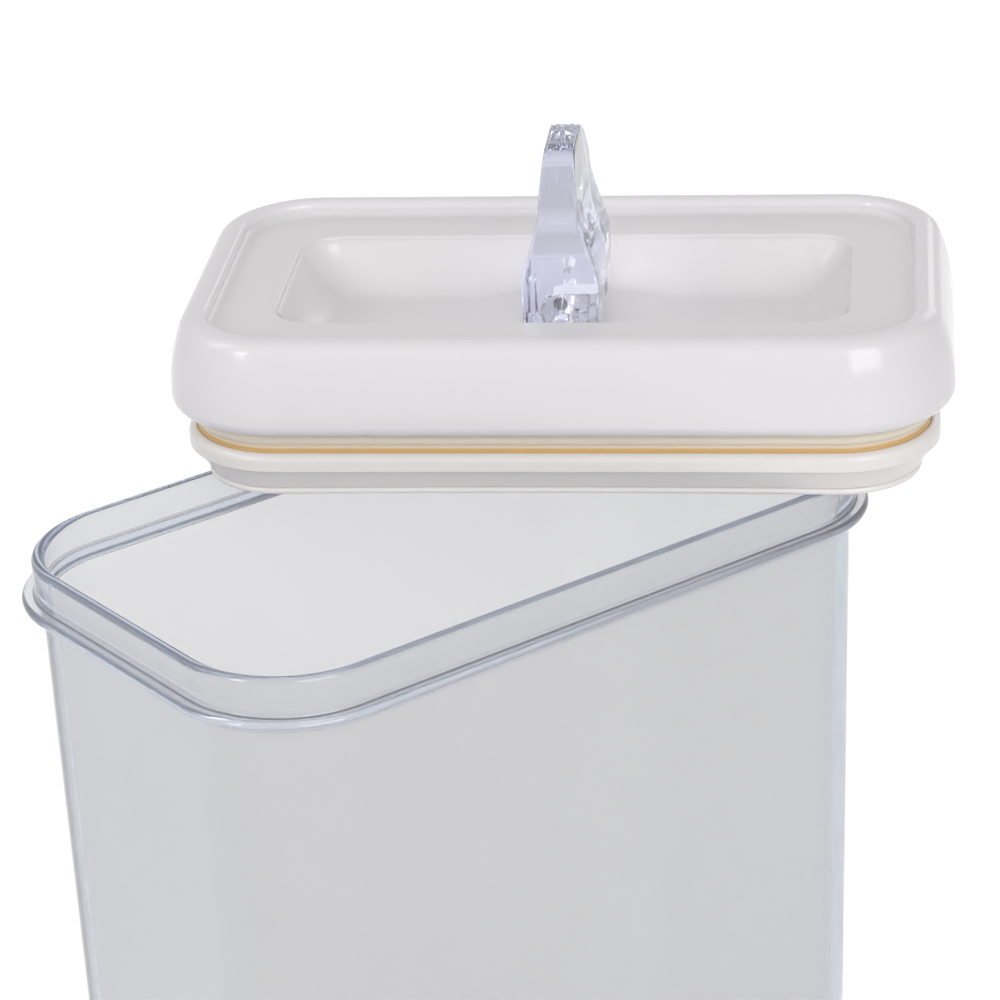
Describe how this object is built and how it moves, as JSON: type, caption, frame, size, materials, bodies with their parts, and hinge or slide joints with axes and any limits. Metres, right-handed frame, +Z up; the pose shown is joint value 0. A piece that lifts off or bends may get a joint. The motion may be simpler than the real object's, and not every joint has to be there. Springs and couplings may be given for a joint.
{
  "type": "storage container with a flip lever lid",
  "caption": "Tall clear rounded rectangular food container with a collar and flange, and a white airtight lid that a clear flip lever clamps shut through a cam, press plate and squeezed seal.",
  "frame": {"origin": "centre of the container's flat underside", "axes": "+Z up, container's long side along X; the lid lies on the rim turned 43.3 degrees clockwise, seen from above"},
  "size_m": [0.2475, 0.189, 0.3146],
  "materials": {
    "clear_body": "clear, polished, faint blue at the edges",
    "clear_lever": "clear, thick, polished, faint blue",
    "pin_plastic": "smooth, pale",
    "white_cover": "glossy moulded",
    "white_tray": "glossy moulded",
    "white_plate": "satin moulded",
    "inner_white": "as moulded",
    "seal_silicone": "soft, slightly translucent silicone",
    "screw_steel": "plated",
    "spring_steel": "drawn wire"
  },
  "bodies": {
    "container": {"container_body": "clear_body"},
    "lid": {"lid_cover": "white_cover", "lid_tray": "white_tray", "lid_deck": "inner_white", "deck_screws": "screw_steel"},
    "press": {"press_plate": "white_plate", "plate_cap": "white_plate", "pull_stem": "inner_white", "stem_screws": "screw_steel", "seal_gasket": "seal_silicone", "plate_springs": "spring_steel"},
    "lever": {"flip_lever": "clear_lever", "lever_pin": "pin_plastic"}
  },
  "joints": [
    {"name": "lid_lift", "type": "slide", "parent": "container", "child": "lid", "axis": [0, 0, 1], "range_m": [0, 0.12]},
    {"name": "press_lift", "type": "slide", "parent": "lid", "child": "press", "axis": [0, 0, 1], "range_m": [0, 0.00375], "deforming": ["seal_gasket", "plate_springs"]},
    {"name": "lever_flip", "type": "hinge", "parent": "press", "child": "lever", "pos_m": [0.0534, 0.0198, 0.2718], "axis": [0.6858, 0.7278, 0], "range_deg": [0, 90]}
  ],
  "couplings": [
    {"joint": "press_lift", "follows": "lever_flip", "m_per_rad": 0.0023873}
  ]
}
